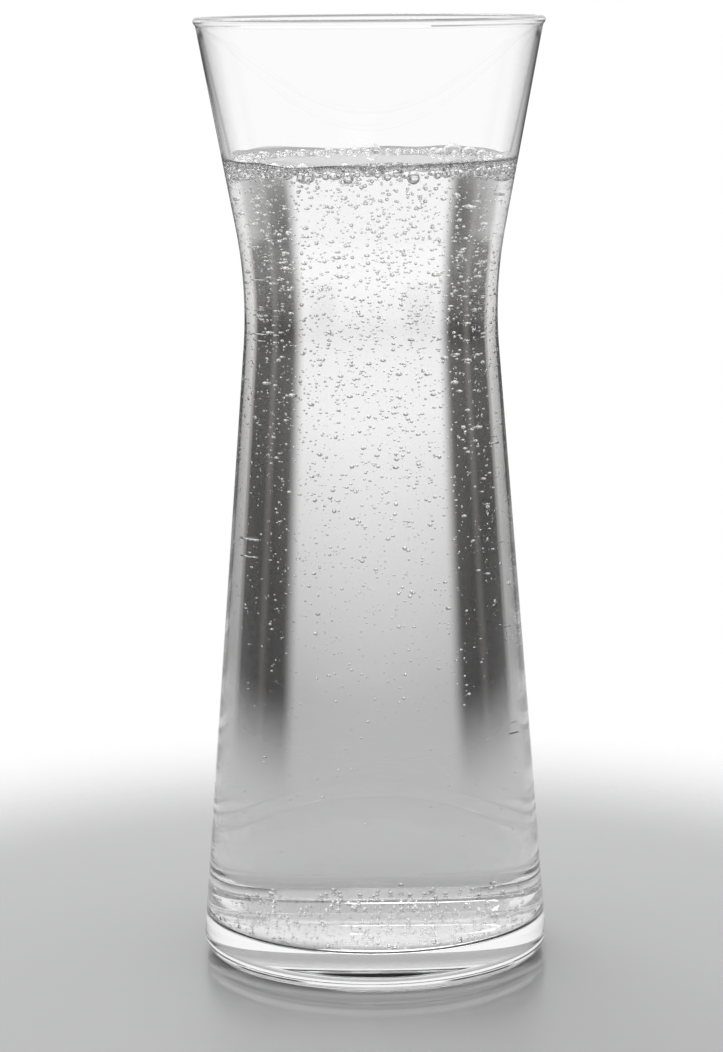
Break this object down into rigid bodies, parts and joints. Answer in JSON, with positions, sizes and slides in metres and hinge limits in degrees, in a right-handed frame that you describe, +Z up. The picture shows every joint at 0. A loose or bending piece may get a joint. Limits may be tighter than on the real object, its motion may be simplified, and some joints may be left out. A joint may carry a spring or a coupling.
{
  "type": "carafe",
  "caption": "Tall clear glass carafe with an hourglass side, a thick base and a flared, fire-polished mouth, filled with sparkling water to just under the rim.",
  "frame": {"origin": "middle of the resting ring under the base, on the table", "axes": "+Z up along the carafe's axis; X and Y are alike, because the carafe is turned all round"},
  "size_m": [0.0962, 0.096, 0.26],
  "materials": {
    "clear_glass": "smooth blown soda-lime glass, fire-polished rim",
    "water": "clear sparkling water with gas bubbles"
  },
  "bodies": {
    "root": {"glass_body": "clear_glass", "sparkling_water": "water"}
  },
  "joints": []
}
